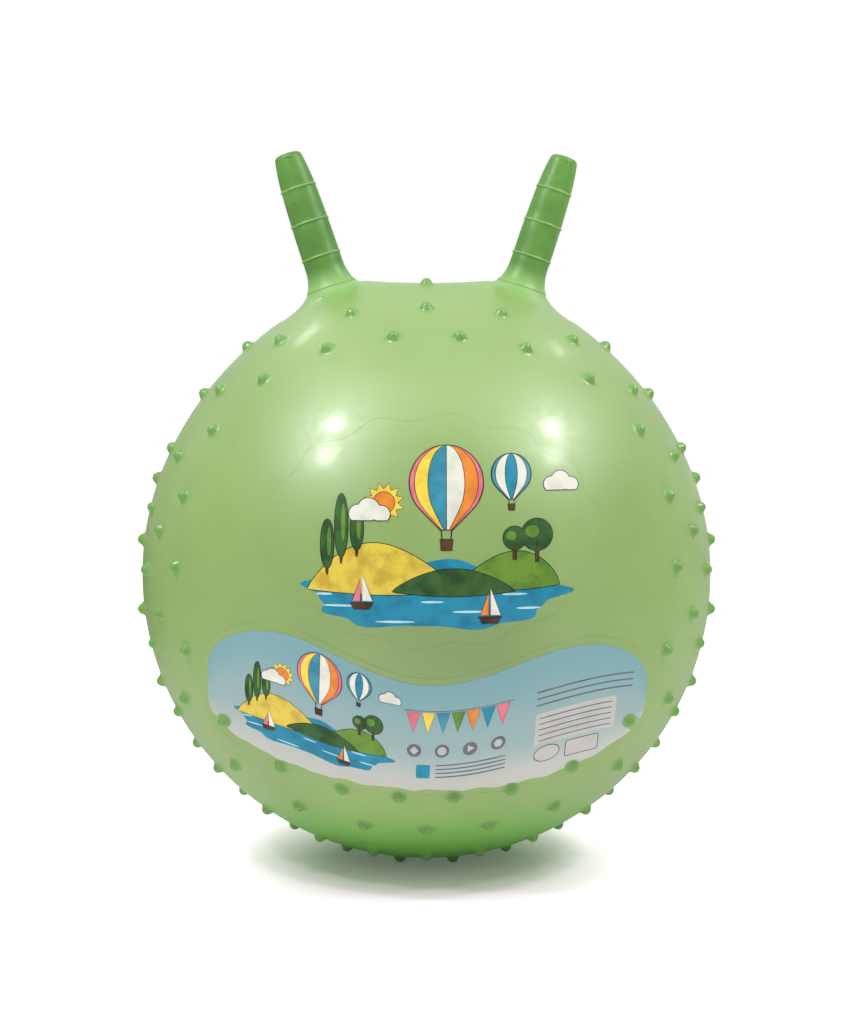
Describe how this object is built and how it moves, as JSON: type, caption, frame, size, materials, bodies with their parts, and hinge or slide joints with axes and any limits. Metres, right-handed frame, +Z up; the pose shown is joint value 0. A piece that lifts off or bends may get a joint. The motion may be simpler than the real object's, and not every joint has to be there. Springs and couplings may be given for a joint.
{
  "type": "hopper ball",
  "caption": "Inflated ride-on bouncing ball of soft green PVC with raised nubs, two bendy ringed grip horns, a plugged air valve at the back, and a label film and a print film in front.",
  "frame": {"origin": "on the floor, under the middle of the ball", "axes": "+Z up, +X to the viewer's right across the two horns, -Y towards the printed front"},
  "size_m": [0.4528, 0.4514, 0.5589],
  "materials": {
    "ball_skin": "pearly soft PVC, glossy",
    "horn": "thicker soft PVC, satin",
    "plug": "white moulded plastic",
    "label": "printed film, satin",
    "print": "clear film with a print, glossy"
  },
  "bodies": {
    "ball": {"ball_shell": "ball_skin", "horn_root_left": "horn", "horn_root_right": "horn", "valve_seat": "ball_skin", "label_film": "label", "print_film": "print"},
    "left_horn": {"horn_grip_left": "horn"},
    "right_horn": {"horn_grip_right": "horn"},
    "plug": {"valve_plug": "plug"}
  },
  "joints": [
    {"name": "left_horn_bend", "type": "hinge", "parent": "ball", "child": "left_horn", "pos_m": [-0.07883, 0, 0.4642], "axis": [1, 0, 0], "range_deg": [-20, 20], "stiffness_Nm_per_rad": 6, "deforming": ["horn_root_left"]},
    {"name": "right_horn_bend", "type": "hinge", "parent": "ball", "child": "right_horn", "pos_m": [0.07883, 0, 0.4642], "axis": [1, 0, 0], "range_deg": [-20, 20], "stiffness_Nm_per_rad": 6, "deforming": ["horn_root_right"]},
    {"name": "plug_pull", "type": "slide", "parent": "ball", "child": "plug", "axis": [0, 1, 0], "range_m": [0, 0.025]}
  ]
}
